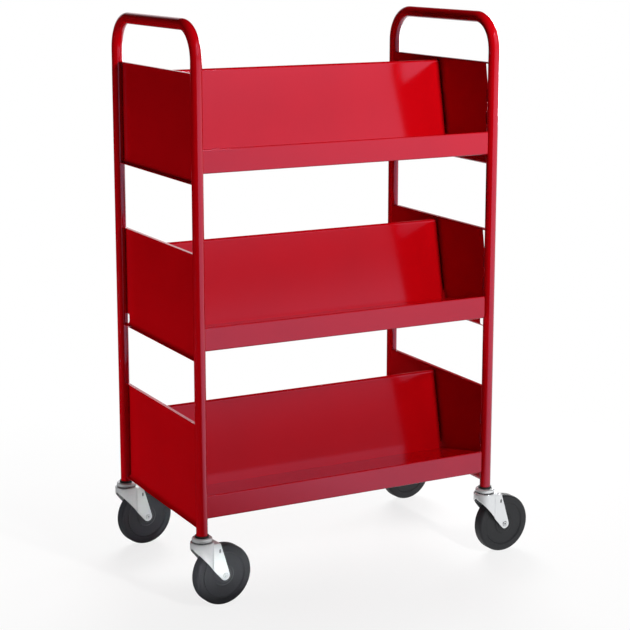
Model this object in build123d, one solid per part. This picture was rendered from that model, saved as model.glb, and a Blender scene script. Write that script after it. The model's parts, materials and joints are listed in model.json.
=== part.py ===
from build123d import *
import os
from math import cos, radians, sin, sqrt, tan

# A two-sided book cart: two bent-tube end frames joined by three sheet-steel
# shelves, each with a central A-shaped divider and an end panel at either end,
# on four swivel casters.  X runs along the shelves, Y from the front side to
# the back side, Z up.  The origin is on the floor, midway between the posts.
# All sizes are in millimetres and degrees.

# ---- End frames ------------------------------------------------------------
frame_spacing = 668.0           # between the planes of the two end frames
post_spacing = 400.0            # between the two posts of one end frame
tube_diameter = 23.0
tube_wall = 1.5
frame_bend_radius = 65.0        # on the centre line of the tube
bottom_shelf_rise = 31.5        # foot of the posts to the bottom shelf's lip
lower_bay = 340.0               # bottom shelf to middle shelf
upper_bay = 347.0               # middle shelf to top shelf
hand_rail_rise = 291.5          # top shelf's lip to the top of the hand rail

# ---- Shelves: one folded sheet each -------------------------------------------
sheet = 1.2
lip_height = 47.5
lip_proud = 2.0                 # lip's face outside the centre plane of the posts
lip_return = 12.0               # flange turned in under the lip
lip_top_radius = 2.5            # outside of the bend
lip_return_radius = 3.0
floor_pitch = 12.0              # book rows lean back by this angle
floor_flange = 12.0             # turned down at each end of a floor
floor_flange_radius = 2.5
ridge_height = 183.0            # top of the divider above the lip's lower edge
ridge_radius = 6.0
divider_gap = 1.2               # divider's end to the end panel
divider_end_radius = 5.0
divider_end_flange = 14.0       # turned in at each end of a divider wall
notch_width = 7.0               # relief where the end flange meets the floor
notch_height = 18.0
notch_slant = 11.0              # upper part of the notch, cut on the slant

# ---- End panels --------------------------------------------------------------
panel_inset = 7.0               # outer face inside the centre plane of the posts
panel_over_ridge = 6.0
panel_drop = 22.5               # below the lip's lower edge
panel_top_flange = 8.0          # turned out, beyond the outer face
panel_top_radius = 3.0
panel_foot_flange = 10.0        # rolled out, beyond the outer face
panel_foot_radius = 10.0
panel_slot_reach = 20.5         # relief above the foot flange, from the post's centre
panel_slot_rise = 3.5           # above the panel's foot
panel_slot_height = 20.0
panel_slot_radius = 4.0
panel_slit_width = 8.0          # taper beside the post, below the top flange
panel_slit_height = 45.0
slotted_panels = ("middle",)    # levels whose panels have the slots at the foot
slit_panels = ("middle", "top") # levels whose right panel has the taper at its front

# ---- Casters -------------------------------------------------------------------
wheel_diameter = 125.0
tread_width = 24.0
tread_shoulder = 5.0
hub_width = 27.0
hub_diameter = 31.0
web_recess = 2.2                # side faces dished by this much
web_recess_inner = 40.0         # diameters of the dished ring
web_recess_outer = 96.0
web_slope = 3.0
trail = 43.5                    # axle behind the swivel axis
wheel_room = 5.0                # above the wheel, under the crown
fork_sheet = 2.0
fork_inside = 28.6              # between the two legs
fork_eye_radius = 10.0
fork_rear_reach = 33.0
fork_knee_reach = 21.0          # front corner of a leg, ahead of the swivel axis
fork_knee_drop = 10.0           # and below the top of the crown
fork_knee_radius = 8.0
crown_diameter = 48.0
crown_edge_radius = 1.5
slot_length = 8.5
slot_width = 4.0
slot_reach = 32.0
slot_drop = 16.3
race_height = 5.5
race_wall = 3.5
race_gap = 2.5                  # open groove between the two races
upper_race_height = 7.0
upper_race_diameter = 41.0
upper_race_radius = 3.0
ball_ring_width = 3.5
kingpin_diameter = 10.0
kingpin_head_diameter = 16.0
kingpin_head = 2.5
stem_diameter = 11.0
stem_length = 36.5
stem_chamfer = 1.1
socket_flange_diameter = 28.0
socket_flange = 4.0
socket_length = 46.0
axle_diameter = 6.6
axle_bore = 4.6
axle_head_diameter = 9.4
axle_head = 1.0
bushing_diameter = 11.0
washer_diameter = 20.0
washer_thickness = 0.5

# ---- Clearances ----------------------------------------------------------------
weld_gap = 0.3                  # between sheet edges and the tube they are welded to
seam_gap = 0.2                  # between flat faces that are welded together
stack_gap = 0.05                # between faces clamped on each other
running_gap = 0.08              # radial, between parts that turn on each other
race_clearance = 0.3            # between the ball ring and each race

# Side of the cart that each caster stands on, along X and Y, and the angle that
# its trailing wheel is turned from +X
caster_sides = {
    "front_left": (-1, -1),
    "front_right": (1, -1),
    "back_left": (-1, 1),
    "back_right": (1, 1),
}
front_left_angle = 5.5
front_right_angle = 2.2
back_left_angle = 7.7
back_right_angle = 5.0

# ---- Heights and planes that follow -----------------------------------------------
crown_z = wheel_diameter + wheel_room + fork_sheet
lower_race_z = crown_z + race_height
upper_race_z = lower_race_z + race_gap
socket_z = upper_race_z + upper_race_height
post_foot_z = socket_z + socket_flange
shelf_heights = {
    "bottom": post_foot_z + bottom_shelf_rise,
    "middle": post_foot_z + bottom_shelf_rise + lower_bay,
    "top": post_foot_z + bottom_shelf_rise + lower_bay + upper_bay,
}
frame_height = shelf_heights["top"] + hand_rail_rise
frame_x = frame_spacing / 2
post_y = post_spacing / 2
tube_radius = tube_diameter / 2
panel_face_x = frame_x - panel_inset
shelf_end_x = panel_face_x - sheet - seam_gap
divider_end_x = panel_face_x - sheet - divider_gap
lip_y = post_y + lip_proud
ridge_centre = ridge_height - ridge_radius
pitch = radians(floor_pitch)


def sheet_section(points, radii):
    """Section of a folded sheet: its middle line, with rounded corners, given
    the sheet's thickness."""
    return trace(FilletPolyline(*points, radius=radii), sheet)


# ---- End frames --------------------------------------------------------------------
def end_frame(side):
    rail_z = frame_height - tube_radius
    path = Plane.YZ.offset(side * frame_x) * FilletPolyline(
        (-post_y, post_foot_z),
        (-post_y, rail_z),
        (post_y, rail_z),
        (post_y, post_foot_z),
        radius=frame_bend_radius,
    )
    ring = Circle(tube_radius) - Circle(tube_radius - tube_wall)
    foot = Plane(origin=(side * frame_x, -post_y, post_foot_z), z_dir=(0, 0, 1))
    return sweep(foot * ring, path=path)


# ---- Shelves -----------------------------------------------------------------------
def floor_height(y, skin=0.0):
    """Height of the floor's upper face at a distance y from the middle plane,
    or of a plane that lies skin below it."""
    return lip_height - (lip_y - y) * tan(pitch) - skin / cos(pitch)


def divider_foot(inset):
    """Where a wall of the divider, inset from its outer face, meets the
    underside of the floor.  The walls stand square to the floors."""
    radius = ridge_radius - inset
    # The wall's face: y cos(pitch) + (z - ridge_centre) sin(pitch) = radius
    under_floor = lip_height - lip_y * tan(pitch) - sheet / cos(pitch)
    foot_y = radius + (ridge_centre - under_floor) * sin(pitch)
    foot_y = foot_y / (cos(pitch) + sin(pitch) * tan(pitch))
    foot_z = ridge_centre + (radius - foot_y * cos(pitch)) / sin(pitch)
    return foot_y, foot_z


def divider_block(inset, drop):
    """Solid divider, its ridge and its ends rounded, inset all round and
    carried down by drop below its foot."""
    foot_y, foot_z = divider_foot(inset)
    radius = ridge_radius - inset
    spread = drop * tan(pitch)
    walls = FilletPolyline(
        (-foot_y - spread, foot_z - drop),
        (0, ridge_centre + radius / sin(pitch)),
        (foot_y + spread, foot_z - drop),
        radius=radius,
    )
    base = Line(walls @ 1, walls @ 0)
    block = extrude(Plane.YZ * make_face([*walls.edges(), base]), divider_end_x - inset, both=True)
    ends = block.faces().filter_by(Axis.X).edges()
    rims = ends.sort_by(Axis.Z)[2:]
    return fillet(rims, divider_end_radius - inset)


def divider():
    shell = divider_block(0, 0) - divider_block(sheet, lip_height)
    # The end is open between its two flanges
    foot_z = divider_foot(0)[1]
    window_tip = ridge_centre - (divider_end_flange - ridge_radius) / sin(pitch)
    window_foot = (window_tip - foot_z + sheet) * tan(pitch)
    window = Plane.YZ * make_face(
        Polyline(
            (-window_foot, foot_z - sheet),
            (0, window_tip),
            (window_foot, foot_z - sheet),
            close=True,
        )
    )
    shell -= extrude(window, frame_x, both=True)
    # Relief at the lower corners
    notch = Plane.XZ * make_face(
        Polyline(
            (divider_end_x - notch_width, foot_z - sheet),
            (divider_end_x - notch_width, foot_z + notch_height - notch_slant),
            (divider_end_x, foot_z + notch_height),
            (frame_x, foot_z + notch_height),
            (frame_x, foot_z - sheet),
            close=True,
        )
    )
    notch = extrude(notch, post_y, both=True)
    return shell - notch - mirror(notch, Plane.YZ)


def shelf_half():
    """Lip and floor of the side at +Y, with the floor's end flanges."""
    half = sheet / 2
    join_y = lip_y - lip_return - lip_top_radius
    lip_line = lip_y - half
    lip = sheet_section(
        [
            (lip_y - lip_return, half),
            (lip_line, half),
            (lip_line, floor_height(lip_line, half)),
            (join_y, floor_height(join_y, half)),
        ],
        [lip_return_radius - half, lip_top_radius - half],
    )
    lip = extrude(Plane.YZ * lip, shelf_end_x, both=True)
    # The floor is a shallow channel, carried along the slope
    inner_y = divider_foot(sheet)[0]
    slope = Plane(
        origin=(0, inner_y, floor_height(inner_y)),
        x_dir=(1, 0, 0),
        z_dir=(0, cos(pitch), sin(pitch)),
    )
    end_x = shelf_end_x - half
    channel = sheet_section(
        [(-end_x, floor_flange), (-end_x, half), (end_x, half), (end_x, floor_flange)],
        floor_flange_radius - half,
    )
    return lip + extrude(slope * channel, (join_y - inner_y) / cos(pitch))


def coped(body):
    """Body with its edges cut round the four posts."""
    post = Cylinder(tube_radius + weld_gap, frame_height)
    for x in (-frame_x, frame_x):
        for y in (-post_y, post_y):
            body -= Pos(x, y, frame_height / 2) * post
    return body


def shelf(height):
    side = shelf_half()
    body = divider() + side + mirror(side, Plane.XZ)
    return coped(Pos(0, 0, height) * body)


# ---- End panels --------------------------------------------------------------------
def end_panel(side, level):
    """Sheet between the two posts, its top edge turned out and its foot rolled
    out, as a profile carried across the cart."""
    half = sheet / 2
    middle_x = panel_face_x - half
    top_z = ridge_height + panel_over_ridge
    foot_z = -panel_drop
    profile = sheet_section(
        [
            (panel_face_x + panel_top_flange, top_z - half),
            (middle_x, top_z - half),
            (middle_x, foot_z + half),
            (panel_face_x + panel_foot_flange, foot_z + half),
        ],
        [panel_top_radius - half, panel_foot_radius - half],
    )
    panel = extrude(Plane.XZ * profile, post_y, both=True)
    if level in slotted_panels:
        slot_z = foot_z + panel_slot_rise + panel_slot_height / 2
        slot = Plane.YZ * Pos(post_y, slot_z) * RectangleRounded(
            2 * panel_slot_reach, panel_slot_height, panel_slot_radius
        )
        slot = extrude(slot, frame_x + tube_radius)
        panel = panel - slot - mirror(slot, Plane.XZ)
    if side < 0:
        panel = mirror(panel, Plane.YZ)
    elif level in slit_panels:
        panel -= front_taper(top_z - panel_top_radius, middle_x)
    return coped(Pos(0, 0, shelf_heights[level]) * panel)


def front_taper(taper_z, middle_x):
    """Gap below the top flange at a right panel's front edge, which runs out
    lower down, where the sheet meets the post."""
    side_y = post_y - sqrt((tube_radius + weld_gap) ** 2 - (frame_x - middle_x) ** 2)
    taper = Plane.YZ * make_face(
        Polyline(
            (-side_y, taper_z - panel_slit_height),
            (panel_slit_width - side_y, taper_z),
            (-post_y, taper_z),
            (-post_y, taper_z - panel_slit_height),
            close=True,
        )
    )
    return extrude(taper, frame_x + tube_radius)


# ---- Casters: modelled with the swivel axis on Z and the wheel trailing to +X -----------
def turned(profile):
    """Profile of radius and height, turned about the swivel axis."""
    return revolve(Plane.XZ * profile, Axis.Z)


def ring_profile(inner, outer, low, high):
    """Section of a plain ring, as radius and height."""
    size = (outer - inner, high - low)
    return Pos((inner + outer) / 2, (low + high) / 2) * Rectangle(*size)


def socket():
    """Plug in the foot of the post, with a flange under the tube's end."""
    bore = stem_diameter / 2 + stack_gap
    plug = ring_profile(bore, tube_radius - tube_wall - stack_gap, socket_z, socket_z + socket_length)
    flange = ring_profile(
        bore, socket_flange_diameter / 2, socket_z + stack_gap, post_foot_z - stack_gap
    )
    return turned(plug + flange)


def stem():
    """Plain stem above, kingpin below, with its riveted head under the crown."""
    crown_under = crown_z - fork_sheet
    shank = ring_profile(0, stem_diameter / 2, socket_z, socket_z + stem_length)
    tip = shank.vertices().group_by(Axis.Y)[-1].sort_by(Axis.X)[-1]
    shank = chamfer(tip, stem_chamfer)
    pin = ring_profile(0, kingpin_diameter / 2, crown_under - race_clearance, socket_z)
    head = ring_profile(
        0,
        kingpin_head_diameter / 2,
        crown_under - race_clearance - kingpin_head,
        crown_under - race_clearance,
    )
    rim = head.vertices().group_by(Axis.Y)[0].sort_by(Axis.X)[-1]
    head = fillet(rim, kingpin_head / 2)
    return turned(shank + pin + head)


def upper_race():
    """Domed cup on the stem, above the ball ring."""
    cup = ring_profile(
        kingpin_diameter / 2 + stack_gap,
        upper_race_diameter / 2,
        upper_race_z,
        socket_z - stack_gap,
    )
    shoulder = cup.vertices().group_by(Axis.Y)[-1].sort_by(Axis.X)[-1]
    return turned(fillet(shoulder, upper_race_radius))


def ball_ring():
    """Ring of balls in their cage, between the two races."""
    outer = crown_diameter / 2 - race_wall - race_clearance
    section = ring_profile(
        outer - ball_ring_width, outer, crown_z + race_clearance, upper_race_z - race_clearance
    )
    return turned(section)


def fork():
    """Pressed fork: a crown with a raised race, and two legs that taper down
    to the axle."""
    axle_z = wheel_diameter / 2
    crown_radius = crown_diameter / 2
    outside = fork_inside / 2 + fork_sheet
    eye = Pos(trail, axle_z) * Circle(fork_eye_radius)
    shoulders = Polyline(
        (-fork_knee_reach, crown_z - fork_knee_drop),
        (-crown_radius, crown_z - fork_sheet),
        (-crown_radius, crown_z),
        (fork_rear_reach, crown_z),
    )
    leg = make_hull([*eye.edges(), *shoulders.edges()])
    knee = leg.vertices().sort_by_distance((-fork_knee_reach, crown_z - fork_knee_drop))[0]
    leg = fillet(knee, fork_knee_radius)
    side_view = extrude(Plane.XZ * leg, crown_radius, both=True)

    def plan(inset):
        width = 2 * (outside - inset)
        return Circle(crown_radius - inset) + Pos(fork_rear_reach, 0) * Rectangle(
            2 * fork_rear_reach, width
        )

    body = side_view & extrude(plan(0), crown_z)
    body -= extrude(plan(fork_sheet), crown_z - fork_sheet)
    top = body.faces().sort_by(Axis.Z)[-1]
    body = fillet(top.outer_wire().edges(), crown_edge_radius)
    race = ring_profile(
        crown_radius - race_wall, crown_radius, crown_z - crown_edge_radius, lower_race_z
    )
    outer_top = race.vertices().group_by(Axis.Y)[-1].sort_by(Axis.X)[-1]
    body += turned(fillet(outer_top, race_wall / 2))
    body -= Pos(0, 0, crown_z) * Cylinder(kingpin_diameter / 2 + running_gap, 2 * race_height)
    cross = Plane.XZ * Pos(slot_reach, crown_z - slot_drop) * SlotOverall(
        slot_length, slot_width, rotation=90
    )
    hole = Plane.XZ * Pos(trail, axle_z) * Circle(axle_diameter / 2 + stack_gap)
    return body - extrude(cross, outside, both=True) - extrude(hole, outside, both=True)


def along_axle(profile):
    """Profile of radius and distance from the wheel's middle plane, turned
    about the axle."""
    return Pos(trail, 0, wheel_diameter / 2) * Rot(90, 0, 0) * turned(profile)


def wheel():
    """One moulding: rounded tread, dished side faces, and a hub."""
    radius = wheel_diameter / 2
    bore = bushing_diameter / 2 + running_gap
    face = tread_width / 2
    web = face - web_recess
    half = Polyline(
        (bore, 0),
        (bore, hub_width / 2),
        (hub_diameter / 2 - web_slope / 2, hub_width / 2),
        (hub_diameter / 2, face),
        (web_recess_inner / 2, face),
        (web_recess_inner / 2 + web_slope, web),
        (web_recess_outer / 2 - web_slope, web),
        (web_recess_outer / 2, face),
        (radius, face),
        (radius, 0),
        close=True,
    )
    section = make_face(half)
    shoulder = section.vertices().sort_by_distance((radius, face))[0]
    section = fillet(shoulder, tread_shoulder)
    return along_axle(section + mirror(section, Plane.XZ))


def bushing():
    """Spanner bushing, clamped between the legs; the wheel turns on it."""
    reach = fork_inside / 2 - stack_gap
    bore = axle_diameter / 2 + stack_gap
    return along_axle(ring_profile(bore, bushing_diameter / 2, -reach, reach))


def axle():
    """Tubular rivet through both legs, its ends rolled over into rings."""
    outside = fork_inside / 2 + fork_sheet + stack_gap
    reach = outside + axle_head
    tube = ring_profile(axle_bore / 2, axle_diameter / 2, -reach, reach)
    head = ring_profile(axle_bore / 2, axle_head_diameter / 2, outside, reach)
    edge = head.vertices().group_by(Axis.Y)[-1].sort_by(Axis.X)[-1]
    head = fillet(edge, axle_head / 2)
    return along_axle(tube + head + mirror(head, Plane.XZ))


def washers():
    """A thin washer on the bushing at each side of the hub."""
    middle = (fork_inside + hub_width) / 4
    bore = bushing_diameter / 2 + running_gap
    washer = ring_profile(
        bore, washer_diameter / 2, middle - washer_thickness / 2, middle + washer_thickness / 2
    )
    return along_axle(washer + mirror(washer, Plane.XZ))


# ---- The parts -------------------------------------------------------------------
def save(name, shape):
    export_step(shape, f"parts/{name}.step")


os.makedirs("parts", exist_ok=True)

for side, hand in ((-1, "left"), (1, "right")):
    save(f"end_frame_{hand}", end_frame(side))
    for level in shelf_heights:
        save(f"{level}_end_panel_{hand}", end_panel(side, level))

for level, height in shelf_heights.items():
    save(f"{level}_shelf", shelf(height))

caster_pieces = {
    "socket": socket(),
    "stem": stem(),
    "upper_race": upper_race(),
    "ball_ring": ball_ring(),
    "fork": fork(),
    "wheel": wheel(),
    "bushing": bushing(),
    "axle": axle(),
    "washers": washers(),
}
caster_angles = {
    "front_left": front_left_angle,
    "front_right": front_right_angle,
    "back_left": back_left_angle,
    "back_right": back_right_angle,
}
for corner, (along, across) in caster_sides.items():
    place = Pos(along * frame_x, across * post_y, 0) * Rot(0, 0, caster_angles[corner])
    for piece, shape in caster_pieces.items():
        save(f"{piece}_{corner}", place * shape)
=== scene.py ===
import json
from math import radians

import bmesh
import bpy
import numpy as np
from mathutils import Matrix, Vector


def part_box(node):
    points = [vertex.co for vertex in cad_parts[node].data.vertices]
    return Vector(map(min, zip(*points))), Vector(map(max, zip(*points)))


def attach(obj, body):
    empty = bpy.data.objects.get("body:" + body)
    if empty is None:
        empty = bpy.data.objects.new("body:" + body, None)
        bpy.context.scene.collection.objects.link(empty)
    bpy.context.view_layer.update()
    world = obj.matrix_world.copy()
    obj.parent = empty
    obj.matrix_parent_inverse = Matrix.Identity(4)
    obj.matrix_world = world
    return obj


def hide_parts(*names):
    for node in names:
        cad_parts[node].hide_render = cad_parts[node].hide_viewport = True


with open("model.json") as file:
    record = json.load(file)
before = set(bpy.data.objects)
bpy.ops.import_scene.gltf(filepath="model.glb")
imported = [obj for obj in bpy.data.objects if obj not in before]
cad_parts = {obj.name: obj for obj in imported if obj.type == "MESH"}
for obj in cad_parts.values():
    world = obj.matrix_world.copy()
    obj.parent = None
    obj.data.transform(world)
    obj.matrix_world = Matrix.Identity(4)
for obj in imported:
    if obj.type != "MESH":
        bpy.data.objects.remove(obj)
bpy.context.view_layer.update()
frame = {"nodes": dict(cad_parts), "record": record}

# A red two-sided book cart.  Metres throughout, X along the shelves, Y from the
# front side to the back side, Z up, the origin on the floor between the posts.

CORNERS = ("front_left", "front_right", "back_left", "back_right")
LEVELS = ("bottom", "middle", "top")
HANDS = {"left": -1, "right": 1}

# ---- Camera and light ------------------------------------------------------------
CAMERA_PLACE = (-1.665, -3.179, 1.316)
CAMERA_HEADING = radians(27.80)         # from +Y towards +X
CAMERA_TILT = radians(11.31)            # below the horizon
CAMERA_LENS = 98.8
CAMERA_SHIFT = (0.0093, -0.055)

# name: place, point it faces, width, height, power in watts, spread, seen in gloss.
# The key is a narrow strip in line with the right end frame, whose front post keeps
# it off the inner sides of the right panels.  Low is a flat beam along the floor that
# only reaches the left casters, and glint is a small lamp that shows in the bends.
LAMPS = {
    "key": ((0.37, -2.3, 2.0), (0.30, 0.0, 1.45), 0.12, 0.9, 24.5, radians(100), False),
    "behind": ((1.4, 3.0, 2.1), (0.0, 0.0, 0.6), 1.8, 1.4, 75, radians(120), False),
    "left": ((-1.9, 0.3, 0.2), (-0.33, 0.0, 0.4), 0.8, 0.4, 7, radians(120), False),
    "glint": ((1.0, -2.4, 3.0), (0.0, 0.0, 1.1), 0.22, 0.22, 5, radians(160), True),
    "low": ((-0.925, -1.62, 0.085), (-0.279, -0.04, 0.076), 0.28, 0.02, 0.18, radians(5), False),
    "right": ((2.7, 1.9, 1.2), (0.0, 0.0, 0.6), 1.2, 1.2, 26, radians(120), True),
}

# Which way the white sweep behind the cart and the white wall in front of it lie
SWEEP_SIDE = (0.20, 0.98, 0.0)
WALL_SIDE = (0.5, -0.866, 0.0)
# Sine of the height above the horizon, and how white the wall is there
WALL_HEIGHTS = [
    (0.0, 0.5), (0.06, 0.3), (0.082, 0.0), (0.095, 0.0), (0.108, 0.4), (0.13, 0.8), (0.160, 0.9),
    (0.170, 0.0), (0.188, 0.0), (0.205, 0.35), (0.235, 1.0), (0.25, 1.0), (0.26, 0.55), (0.27, 0.55),
    (0.29, 1.0), (0.6, 0.8), (0.8, 0.0),
]
ROOM_LIGHT = 0.03                       # on the cart, from all round

FLOOR_REACH = 14.0                      # from the cart to the floor's edges
FLOOR_PALE = (0.85, 0.85, 0.85, 1)      # as the camera sees it
FLOOR_DULL = (0.55, 0.55, 0.55, 1)      # as it lights the cart
FLOOR_BRIGHT_SIDE = (0.966, -0.26, 0.0)
WHITE = (1, 1, 1, 1)

# ---- Finishes --------------------------------------------------------------------
GRAIN_SCALE, GRAIN_DEPTH = 900.0, 0.00001       # the fine texture of paint and plating
CLOUD_SCALE = 7.0                               # slow drift of the colour

# ---- Small details -----------------------------------------------------------------
WELD_PITCH = 0.0022
PANEL_STITCHES = ((0.010, 0.030), (0.062, 0.087), (0.108, 0.133))   # above the shelf's foot
PANEL_BEAD = 0.0017                     # radius of the beads between panel and post
PANEL_BEAD_SHORT = 0.0002               # of the panel's edge
PANEL_BEAD_INSIDE = 0.0008              # inside the panel's inner face
LIP_STITCH = (0.005, 0.041)
LIP_BEAD = 0.0016
LIP_BEAD_SHORT = 0.0038                 # of the shelf's end
LIP_BEAD_INSIDE = 0.0019                # inside the lip's outer face
BALL_RADIUS = 0.0026
BALL_PITCH = 0.0056
AXLE_HEAD = 0.001                       # how far each head of the axle stands out
RIM_RADIUS = 0.0010


def make_camera():
    data = bpy.data.cameras.new("camera")
    data.lens = CAMERA_LENS
    data.shift_x, data.shift_y = CAMERA_SHIFT
    camera = bpy.data.objects.new("camera", data)
    bpy.context.scene.collection.objects.link(camera)
    camera.location = CAMERA_PLACE
    camera.rotation_euler = (radians(90) - CAMERA_TILT, 0, -CAMERA_HEADING)
    bpy.context.scene.camera = camera


def make_lamps():
    for name, (place, target, width, height, power, spread, gloss) in LAMPS.items():
        data = bpy.data.lights.new(name, "AREA")
        data.shape = "RECTANGLE"
        data.size, data.size_y = width, height
        data.energy = power
        data.spread = spread
        lamp = bpy.data.objects.new(name, data)
        bpy.context.scene.collection.objects.link(lamp)
        lamp.location = place
        lamp.rotation_euler = (Vector(place) - Vector(target)).to_track_quat("Z", "Y").to_euler()
        lamp.visible_camera = False
        lamp.visible_glossy = gloss


# ---- Node trees ------------------------------------------------------------------
class Tree:
    """A node tree built by short calls."""

    def __init__(self, owner):
        owner.use_nodes = True
        self.tree = owner.node_tree
        self.tree.nodes.clear()

    def add(self, kind, settings=None, **inputs):
        node = self.tree.nodes.new("ShaderNode" + kind)
        for name, value in (settings or {}).items():
            setattr(node, name, value)
        for name, value in inputs.items():
            self.put(node.inputs[name.replace("_", " ")], value)
        return node

    def put(self, socket, value):
        if isinstance(value, bpy.types.NodeSocket):
            self.tree.links.new(value, socket)
        else:
            socket.default_value = value

    def ramp(self, fac, stops, interpolation="LINEAR"):
        node = self.add("ValToRGB", Fac=fac)
        node.color_ramp.interpolation = interpolation
        while len(node.color_ramp.elements) < len(stops):
            node.color_ramp.elements.new(0.5)
        for element, (place, colour) in zip(node.color_ramp.elements, stops):
            element.position = place
            element.color = (*colour, 1) if isinstance(colour, tuple) else (colour,) * 3 + (1,)
        return node.outputs["Color"]

    def maths(self, operation, a, b=0.0):
        node = self.tree.nodes.new("ShaderNodeMath")
        node.operation = operation
        self.put(node.inputs[0], a)
        self.put(node.inputs[1], b)
        return node.outputs[0]


def finish(name, base, roughness, metallic=0.0, spread=0.04, shine=0.5, tint=(1, 1, 1)):
    """Paint, plating or rubber: a base colour that drifts by a share of spread, and a
    fine grain.  Shine and tint are the strength and colour of its gloss."""
    material = bpy.data.materials.new(name)
    tree = Tree(material)
    place = tree.add("TexCoord").outputs["Object"]
    noise = tree.add("TexNoise", Vector=place, Scale=GRAIN_SCALE, Detail=2.0)
    cloud = tree.add("TexNoise", Vector=place, Scale=CLOUD_SCALE, Detail=3.0)
    shade = tree.ramp(
        cloud.outputs["Fac"],
        [
            (0.3, tuple(c * (1 - spread) for c in base)),
            (0.7, tuple(min(1, c * (1 + spread)) for c in base)),
        ],
    )
    bump = tree.add("Bump", Height=noise.outputs["Fac"], Strength=0.35, Distance=GRAIN_DEPTH)
    shader = tree.add("BsdfPrincipled", Base_Color=shade, Normal=bump.outputs["Normal"])
    shader.inputs["Roughness"].default_value = roughness
    shader.inputs["Metallic"].default_value = metallic
    shader.inputs["Specular IOR Level"].default_value = shine
    shader.inputs["Specular Tint"].default_value = (*tint, 1)
    tree.add("OutputMaterial", Surface=shader.outputs[0])
    return material


MATERIALS = {
    "red_enamel": finish("red_enamel", (0.48, 0.001, 0.004), 0.12, shine=0.86, tint=(1, 0.62, 1)),
    "zinc_plate": finish("zinc_plate", (0.88, 0.90, 0.92), 0.25, metallic=0.55, spread=0.03),
    "race_steel": finish("race_steel", (0.30, 0.30, 0.31), 0.35, metallic=1.0),
    "black_wheel": finish("black_wheel", (0.022, 0.023, 0.026), 0.6, spread=0.1),
    "black_socket": finish("black_socket", (0.012, 0.016, 0.015), 0.40, spread=0.1),
}


# ---- Stage -----------------------------------------------------------------------
def along(tree, way, direction):
    """How far a direction or place lies along another: the dot product of the two."""
    node = tree.add("VectorMath", {"operation": "DOT_PRODUCT"})
    tree.put(node.inputs[0], way)
    node.inputs[1].default_value = direction
    return node.outputs["Value"]


def make_world():
    """White where the camera looks past the cart, a white sweep and wall in its gloss,
    and a little light from all round."""
    world = bpy.data.worlds.new("world")
    bpy.context.scene.world = world
    tree = Tree(world)
    path = tree.add("LightPath").outputs
    way = tree.add("TexCoord").outputs["Generated"]
    sweep = tree.ramp(along(tree, way, SWEEP_SIDE), [(0.90, 0.0), (0.95, 1.0)])
    front = tree.ramp(along(tree, way, WALL_SIDE), [(0.55, 0.0), (0.85, 1.0)])
    height = tree.ramp(along(tree, way, (0.0, 0.0, 1.0)), WALL_HEIGHTS)
    wall = tree.maths("MULTIPLY", front, height)
    shown = tree.maths("MAXIMUM", sweep, wall)
    shown = tree.maths("MAXIMUM", shown, path["Is Camera Ray"])
    room = tree.add("Background", Color=WHITE, Strength=ROOM_LIGHT)
    white = tree.add("Background", Color=WHITE, Strength=shown)
    clear = tree.maths("MAXIMUM", path["Is Glossy Ray"], path["Is Transmission Ray"])
    clear = tree.maths("MAXIMUM", clear, path["Is Camera Ray"])
    mix = tree.add("MixShader", Fac=clear)
    tree.put(mix.inputs[1], room.outputs[0])
    tree.put(mix.inputs[2], white.outputs[0])
    tree.add("OutputWorld", Surface=mix.outputs[0])


def make_floor():
    """A square floor under the cart, with a material for the camera, one for the light
    that it throws back and one for the cart's gloss."""
    mesh = bpy.data.meshes.new("floor")
    corners = [(-1, -1), (1, -1), (1, 1), (-1, 1)]
    mesh.from_pydata([(FLOOR_REACH * x, FLOOR_REACH * y, 0) for x, y in corners], [], [(0, 1, 2, 3)])
    floor = bpy.data.objects.new("floor", mesh)
    bpy.context.scene.collection.objects.link(floor)
    material = bpy.data.materials.new("floor")
    tree = Tree(material)
    path = tree.add("LightPath").outputs
    place = tree.add("TexCoord").outputs["Object"]
    matt = tree.add("BsdfDiffuse", Color=FLOOR_PALE)
    dull = tree.add("BsdfDiffuse", Color=FLOOR_DULL)
    white = tree.add("Emission", Color=WHITE, Strength=1.0)
    # The side of the floor towards the key lamp is the bright one
    lit = along(tree, place, FLOOR_BRIGHT_SIDE)
    lit = tree.add("MapRange", Value=lit, From_Min=-0.1, From_Max=0.5)
    glow = tree.add("Emission", Color=WHITE, Strength=lit.outputs[0])
    # Under the cart the floor takes its shadow, and further out it is plain white
    reach = tree.add("VectorMath", {"operation": "LENGTH"})
    tree.put(reach.inputs[0], place)
    distance = reach.outputs["Value"]
    plain = tree.add("MapRange", Value=distance, From_Min=0.35, From_Max=1.3, To_Min=0.80)
    camera_mix = tree.add("MixShader", Fac=plain.outputs[0])
    tree.put(camera_mix.inputs[1], matt.outputs[0])
    tree.put(camera_mix.inputs[2], white.outputs[0])
    gloss = tree.maths("MAXIMUM", path["Is Glossy Ray"], path["Is Transmission Ray"])
    first = tree.add("MixShader", Fac=path["Is Camera Ray"])
    tree.put(first.inputs[1], dull.outputs[0])
    tree.put(first.inputs[2], camera_mix.outputs[0])
    second = tree.add("MixShader", Fac=gloss)
    tree.put(second.inputs[1], first.outputs[0])
    tree.put(second.inputs[2], glow.outputs[0])
    tree.add("OutputMaterial", Surface=second.outputs[0])
    floor.data.materials.append(material)


# ---- Pieces ----------------------------------------------------------------------
SLOT = {part["node"]: part["material_slot"] for part in frame["record"]["subparts"]}
BODY = {n: b for b, ns in frame["record"]["behaviour"]["bodies"].items() for n in ns}
JOINTS = {joint["name"]: joint for joint in frame["record"]["behaviour"]["joints"]}


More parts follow.
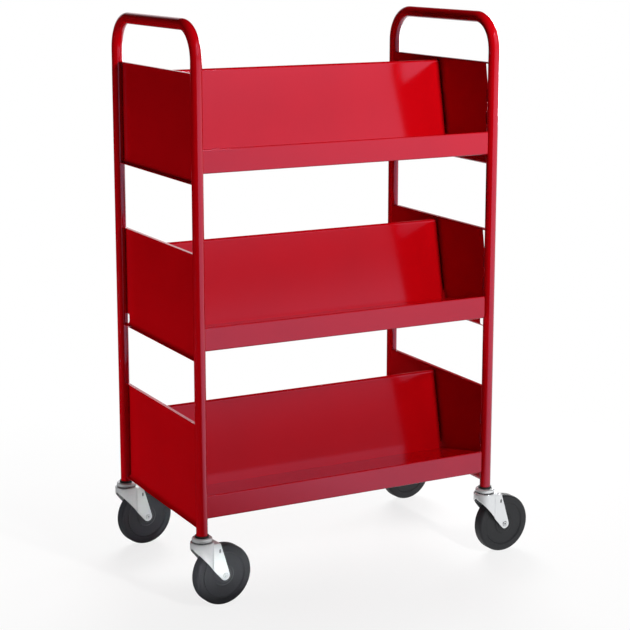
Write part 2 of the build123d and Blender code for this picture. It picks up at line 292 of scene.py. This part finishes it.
def dressed_copy(node, crease=32):
    """The CAD node's surface with its triangles joined and its bends shaded smooth."""
    source = frame["nodes"][node]
    made = bmesh.new()
    made.from_mesh(source.data)
    bmesh.ops.remove_doubles(made, verts=made.verts, dist=1e-6)
    for face in made.faces:
        face.smooth = True
    for edge in made.edges:
        edge.smooth = edge.calc_face_angle(3.0) < radians(crease)
    mesh = bpy.data.meshes.new(node + "_skin")
    made.to_mesh(mesh)
    made.free()
    piece = bpy.data.objects.new(node + "_skin", mesh)
    bpy.context.scene.collection.objects.link(piece)
    piece.data.materials.append(MATERIALS[SLOT[node]])
    weighted = piece.modifiers.new("flat_faces_first", "WEIGHTED_NORMAL")
    weighted.keep_sharp = True
    weighted.weight = 100
    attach(piece, BODY[node])
    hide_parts(node)
    return piece


def add_piece(name, points, faces, slot):
    """A smooth piece of the slot's material from points and faces."""
    mesh = bpy.data.meshes.new(name)
    mesh.from_pydata(points.reshape(-1, 3), [], faces)
    mesh.shade_smooth()
    mesh.materials.append(MATERIALS[slot])
    piece = bpy.data.objects.new(name, mesh)
    bpy.context.scene.collection.objects.link(piece)
    return piece


def tube_sides(count, around, closed):
    """The faces between neighbouring rings of a tube: count rings of around points,
    the last joined to the first when the tube is closed."""
    i, j = np.meshgrid(np.arange(count if closed else count - 1), np.arange(around), indexing="ij")
    over, beside = (i + 1) % count, (j + 1) % around
    sides = [i * around + j, i * around + beside, over * around + beside, over * around + j]
    return np.stack(sides, axis=-1).reshape(-1, 4)


def closed_rolls(name, rings, poles, slot):
    """Closed bodies in one mesh.  rings[k, i, j] is point j of ring i of body k, and
    poles[k] holds its two end points: faces join each ring to the next and run out
    in a fan to the poles.  The points go round counter-clockwise, seen from the end."""
    bodies, count, around, _ = rings.shape
    points = np.concatenate([rings.reshape(bodies, -1, 3), poles], axis=1)
    ring, last, tip = np.arange(around), (count - 1) * around, count * around
    beside = (ring + 1) % around
    start = np.stack([beside, ring, np.full(around, tip)], axis=-1)
    end = np.stack([last + ring, last + beside, np.full(around, tip + 1)], axis=-1)
    first = (np.arange(bodies) * points.shape[1])[:, None, None]
    parts = (tube_sides(count, around, False), start, end)
    faces = [list(face) for part in parts for face in (part + first).reshape(-1, part.shape[1])]
    return add_piece(name, points, faces, slot)


def weld_beads(name, feet, tops, radius):
    """Upright beads of weld, each a roll along a straight line from foot to top.  At
    a share t of the way its radius is radius (1 - |2t - 1|^8)^(1/2), times a ripple
    1 + 0.08 cos(2 pi s / pitch), where s is the distance from the foot."""
    feet, tops = np.array(feet), np.array(tops)
    length = np.linalg.norm(tops - feet, axis=1).max()
    t = (np.arange(1, 60) / 60)[None, :, None]
    angle = np.linspace(0, 2 * np.pi, 12, endpoint=False)[None, None, :]
    thick = radius * np.sqrt(1 - np.abs(2 * t - 1) ** 8)
    thick = thick * (1 + 0.08 * np.cos(2 * np.pi * t * length / WELD_PITCH))
    middle = feet[:, None, None, :] + (tops - feet)[:, None, None, :] * t[..., None]
    round_it = np.stack([np.cos(angle) * thick, np.sin(angle) * thick, 0 * angle * thick], axis=-1)
    piece = closed_rolls(name, middle + round_it, np.stack([feet, tops], axis=1), "red_enamel")
    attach(piece, "cart")


def ball_race(corner):
    """The balls in the groove under the upper race: spheres, each centre + radius
    (sin v cos u, sin v sin u, -cos v), evenly spaced on a circle about the swivel axis."""
    low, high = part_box("ball_ring_" + corner)
    low, high = np.array(low), np.array(high)
    middle, outer = (low + high) / 2, (high - low)[:2].min() / 2
    reach = outer - BALL_RADIUS
    count = int(2 * np.pi * reach / BALL_PITCH)
    turn = np.arange(count) * 2 * np.pi / count
    centres = middle + reach * np.stack([np.cos(turn), np.sin(turn), 0 * turn], axis=-1)
    v, u = np.meshgrid(np.arange(1, 10) * np.pi / 10, np.arange(16) * np.pi / 8, indexing="ij")
    ball = np.stack([np.sin(v) * np.cos(u), np.sin(v) * np.sin(u), -np.cos(v)], axis=-1)
    rings = centres[:, None, None, :] + BALL_RADIUS * ball
    ends = centres[:, None, :] + BALL_RADIUS * np.array([(0, 0, -1), (0, 0, 1)])
    balls = closed_rolls("balls_" + corner, rings, ends, "race_steel")
    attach(balls, "cart")
    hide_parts("ball_ring_" + corner)


def dark_rivet_rings(corner):
    """A thin ring of dark steel round each of the two heads of the hollow axle, which
    draws a dark outline round the head: the points end + (R + r cos v) (cos u a + sin u b) + r sin v
    c, where c is the axle's direction, a and b lie across it, R is the head's radius and r the
    ring's."""
    joint = JOINTS["roll_" + corner]
    middle, direction = np.array(joint["pos_m"]), np.array(joint["axis"])
    axle = frame["nodes"]["axle_" + corner].data
    surface = np.empty(3 * len(axle.vertices), dtype=np.float32)
    axle.vertices.foreach_get("co", surface)
    surface = surface.reshape(-1, 3) - middle
    distance = surface @ direction
    head = np.linalg.norm(surface - distance[:, None] * direction, axis=1).max()
    stand = distance.max() - AXLE_HEAD
    up = np.array((0, 0, 1))
    across = np.cross(direction, up)
    u, v = np.meshgrid(np.arange(48) * np.pi / 24, np.arange(12) * np.pi / 6, indexing="ij")
    u, v = u[..., None], v[..., None]
    ring = (head + RIM_RADIUS * np.cos(v)) * (np.cos(u) * across + np.sin(u) * up)
    ring = ring + RIM_RADIUS * np.sin(v) * direction
    ends = [middle + side * stand * direction for side in (-1, 1)]
    points = np.concatenate([(end + ring).reshape(-1, 3) for end in ends])
    sides = tube_sides(48, 12, True)
    faces = np.concatenate([sides, sides + ring.size // 3]).tolist()
    rims = add_piece("dark_rivet_rings_" + corner, points, faces, "race_steel")
    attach(rims, BODY["axle_" + corner])


def weld_end_panels():
    """Three stitches of weld where each end panel meets each of its two posts."""
    feet, tops = [], []
    for level in LEVELS:
        foot_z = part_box(level + "_shelf")[0][2]
        for hand, side in HANDS.items():
            low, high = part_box(f"{level}_end_panel_{hand}")
            inner = low[0] if side > 0 else high[0]
            for across in (-1, 1):
                place = (inner - PANEL_BEAD_INSIDE * side, across * (high[1] - PANEL_BEAD_SHORT))
                for start, end in PANEL_STITCHES:
                    feet.append((*place, foot_z + start))
                    tops.append((*place, foot_z + end))
    weld_beads("panel_welds", feet, tops, PANEL_BEAD)


def weld_lips():
    """One stitch of weld at each end of each lip, on its inner side."""
    feet, tops = [], []
    for level in LEVELS:
        low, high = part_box(level + "_shelf")
        for side in HANDS.values():
            for across in (-1, 1):
                place = (side * (high[0] - LIP_BEAD_SHORT), across * (high[1] - LIP_BEAD_INSIDE))
                feet.append((*place, low[2] + LIP_STITCH[0]))
                tops.append((*place, low[2] + LIP_STITCH[1]))
    weld_beads("lip_welds", feet, tops, LIP_BEAD)


# ---- The dressed cart --------------------------------------------------------------
for node in frame["nodes"]:
    if not node.startswith("ball_ring"):
        dressed_copy(node)
for corner in CORNERS:
    ball_race(corner)
    dark_rivet_rings(corner)
weld_end_panels()
weld_lips()

make_camera()
make_lamps()
make_world()
make_floor()
bpy.context.scene.view_settings.view_transform = "Standard"
